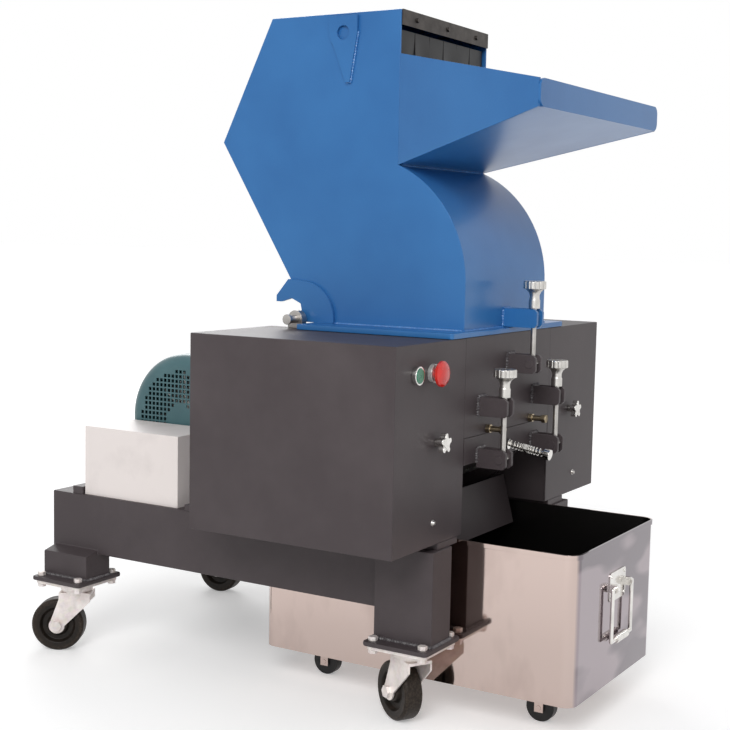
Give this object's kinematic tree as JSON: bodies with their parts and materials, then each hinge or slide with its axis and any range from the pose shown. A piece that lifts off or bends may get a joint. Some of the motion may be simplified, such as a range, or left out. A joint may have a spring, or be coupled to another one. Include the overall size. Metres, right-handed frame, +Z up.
{
  "type": "plastic granulator",
  "caption": "Wheeled claw granulator with a tilting feed hopper, swing-bolt clamps, drop-down screen cradle, belt-driven rotor and slide-out collecting bin.",
  "frame": {"origin": "middle of the bounding box on the floor under the wheels", "axes": "+X to the right seen from the front with the buttons, +Y to the rear where the motor stands, +Z up"},
  "size_m": [0.8, 1.0918, 1.178],
  "materials": {
    "dark_paint": "dark grey hammered paint",
    "chamber_paint": "dark grey paint",
    "hopper_paint": "blue gloss paint",
    "motor_paint": "teal paint",
    "box_paint": "white paint",
    "steel": "machined steel",
    "zinc": "zinc plated",
    "knob_alloy": "cast and turned",
    "chrome": "chrome plated",
    "stainless": "polished stainless steel",
    "casting": "painted casting",
    "belt_rubber": "matt rubber",
    "tread": "dark brown elastomer",
    "green_plastic": "green push button",
    "red_plastic": "red mushroom head"
  },
  "bodies": {
    "frame": {"frame_left": "dark_paint", "frame_right": "dark_paint", "cross_beams": "dark_paint", "bed_plate": "dark_paint", "chamber_left": "chamber_paint", "chamber_right": "chamber_paint", "front_wall": "dark_paint", "rear_wall": "chamber_paint", "fixed_blades": "steel", "bearings": "casting", "left_cover": "dark_paint", "right_cover": "dark_paint", "hinge_pins": "steel", "clamp_lugs": "dark_paint", "motor_body": "motor_paint", "motor_cowl": "motor_paint", "cowl_grille": "motor_paint", "motor_plate": "dark_paint", "control_box": "box_paint", "button_collars": "chrome", "v_belts": "belt_rubber", "caster_plates": "zinc"},
    "hopper": {"hopper_shell": "hopper_paint", "feed_tray": "hopper_paint", "curtain_strip": "zinc", "hopper_lugs": "hopper_paint"},
    "curtain": {"curtain_flaps": "belt_rubber"},
    "top_bolt": {"top_bolt": "steel"},
    "left_bolt": {"left_bolt": "steel"},
    "right_bolt": {"right_bolt": "steel"},
    "top_knob": {"top_knob": "knob_alloy"},
    "left_knob": {"left_knob": "knob_alloy"},
    "right_knob": {"right_knob": "knob_alloy"},
    "cradle": {"cradle": "dark_paint", "screen": "steel", "chute": "dark_paint", "spring_rod": "chrome", "spring": "chrome"},
    "rotor": {"rotor_shaft": "steel", "rotor": "steel", "rotor_blades": "steel", "rotor_wheels": "casting"},
    "motor_rotor": {"motor_rotor": "steel"},
    "green_button": {"green_button": "green_plastic"},
    "red_button": {"red_button": "red_plastic"},
    "star_knob_left": {"star_knob_left": "chrome"},
    "star_knob_right": {"star_knob_right": "chrome"},
    "bin": {"bin": "stainless", "bin_handle": "chrome"},
    "bin_bail": {"bin_bail": "chrome"},
    "bin_wheels_front": {"bin_wheels_front": "tread"},
    "bin_wheels_rear": {"bin_wheels_rear": "tread"},
    "fork_front_left": {"fork_front_left": "zinc"},
    "wheel_front_left": {"wheel_front_left": "tread"},
    "fork_front_right": {"fork_front_right": "zinc"},
    "wheel_front_right": {"wheel_front_right": "tread"},
    "fork_rear_left": {"fork_rear_left": "zinc"},
    "wheel_rear_left": {"wheel_rear_left": "tread"},
    "fork_rear_right": {"fork_rear_right": "zinc"},
    "wheel_rear_right": {"wheel_rear_right": "tread"}
  },
  "joints": [
    {"name": "hopper_open", "type": "hinge", "parent": "frame", "child": "hopper", "pos_m": [0, 0.0081, 0.656], "axis": [-1, 0, 0], "range_deg": [0, 70]},
    {"name": "curtain_swing", "type": "hinge", "parent": "hopper", "child": "curtain", "pos_m": [0, -0.1696, 1.146], "axis": [1, 0, 0], "range_deg": [0, 45]},
    {"name": "top_bolt_swing", "type": "hinge", "parent": "hopper", "child": "top_bolt", "pos_m": [0, -0.3609, 0.588], "axis": [1, 0, 0], "range_deg": [0, 100]},
    {"name": "left_bolt_swing", "type": "hinge", "parent": "frame", "child": "left_bolt", "pos_m": [-0.108, -0.3609, 0.436], "axis": [1, 0, 0], "range_deg": [0, 100]},
    {"name": "right_bolt_swing", "type": "hinge", "parent": "frame", "child": "right_bolt", "pos_m": [0.108, -0.3609, 0.436], "axis": [1, 0, 0], "range_deg": [0, 100]},
    {"name": "top_knob_turn", "type": "hinge", "parent": "top_bolt", "child": "top_knob", "pos_m": [0, -0.3609, 0.69], "axis": [0, 0, 1], "continuous": true},
    {"name": "left_knob_turn", "type": "hinge", "parent": "left_bolt", "child": "left_knob", "pos_m": [-0.108, -0.3609, 0.544], "axis": [0, 0, 1], "continuous": true},
    {"name": "right_knob_turn", "type": "hinge", "parent": "right_bolt", "child": "right_knob", "pos_m": [0.108, -0.3609, 0.544], "axis": [0, 0, 1], "continuous": true},
    {"name": "cradle_drop", "type": "hinge", "parent": "frame", "child": "cradle", "pos_m": [0, 0.0261, 0.448], "axis": [1, 0, 0], "range_deg": [0, 25]},
    {"name": "rotor_spin", "type": "hinge", "parent": "frame", "child": "rotor", "pos_m": [0, -0.1289, 0.48], "axis": [1, 0, 0], "continuous": true},
    {"name": "motor_spin", "type": "hinge", "parent": "frame", "child": "motor_rotor", "pos_m": [0, 0.3191, 0.441], "axis": [1, 0, 0], "continuous": true},
    {"name": "green_press", "type": "slide", "parent": "frame", "child": "green_button", "axis": [0, 1, 0], "range_m": [0, 0.003], "stiffness_N_per_m": 600},
    {"name": "red_press", "type": "slide", "parent": "frame", "child": "red_button", "axis": [0, 1, 0], "range_m": [0, 0.005], "stiffness_N_per_m": 800},
    {"name": "star_left_turn", "type": "hinge", "parent": "frame", "child": "star_knob_left", "pos_m": [-0.267, -0.3339, 0.48], "axis": [0, 1, 0], "continuous": true},
    {"name": "star_right_turn", "type": "hinge", "parent": "frame", "child": "star_knob_right", "pos_m": [0.267, -0.3339, 0.48], "axis": [0, 1, 0], "continuous": true},
    {"name": "bin_pull", "type": "slide", "parent": "frame", "child": "bin", "axis": [0, -1, 0], "range_m": [0, 0.45]},
    {"name": "bail_lift", "type": "hinge", "parent": "bin", "child": "bin_bail", "pos_m": [0, -0.5389, 0.226], "axis": [-1, 0, 0], "range_deg": [0, 150]},
    {"name": "bin_front_roll", "type": "hinge", "parent": "bin", "child": "bin_wheels_front", "pos_m": [0, -0.4409, 0.025], "axis": [1, 0, 0], "continuous": true},
    {"name": "bin_rear_roll", "type": "hinge", "parent": "bin", "child": "bin_wheels_rear", "pos_m": [0, -0.0139, 0.025], "axis": [1, 0, 0], "continuous": true},
    {"name": "swivel_front_left", "type": "hinge", "parent": "frame", "child": "fork_front_left", "pos_m": [-0.241, -0.2689, 0.12], "axis": [0, 0, 1], "range_deg": [0, 240]},
    {"name": "roll_front_left", "type": "hinge", "parent": "fork_front_left", "child": "wheel_front_left", "pos_m": [-0.224, -0.23946, 0.05], "axis": [-0.866, 0.5, 0], "continuous": true},
    {"name": "swivel_front_right", "type": "hinge", "parent": "frame", "child": "fork_front_right", "pos_m": [0.241, -0.2689, 0.12], "axis": [0, 0, 1], "range_deg": [-195, 45]},
    {"name": "roll_front_right", "type": "hinge", "parent": "fork_front_right", "child": "wheel_front_right", "pos_m": [0.2498, -0.23606, 0.05], "axis": [-0.9659, 0.2588, 0], "continuous": true},
    {"name": "swivel_rear_left", "type": "hinge", "parent": "frame", "child": "fork_rear_left", "pos_m": [-0.251, 0.4611, 0.12], "axis": [0, 0, 1], "continuous": true},
    {"name": "roll_rear_left", "type": "hinge", "parent": "fork_rear_left", "child": "wheel_rear_left", "pos_m": [-0.268, 0.49055, 0.05], "axis": [-0.866, -0.5, 0], "continuous": true},
    {"name": "swivel_rear_right", "type": "hinge", "parent": "frame", "child": "fork_rear_right", "pos_m": [0.251, 0.4611, 0.12], "axis": [0, 0, 1], "continuous": true},
    {"name": "roll_rear_right", "type": "hinge", "parent": "fork_rear_right", "child": "wheel_rear_right", "pos_m": [0.24804, 0.49497, 0.05], "axis": [-0.9962, -0.0872, 0], "continuous": true}
  ],
  "couplings": [
    {"joint": "motor_spin", "follows": "rotor_spin", "ratio": 2.6634}
  ]
}
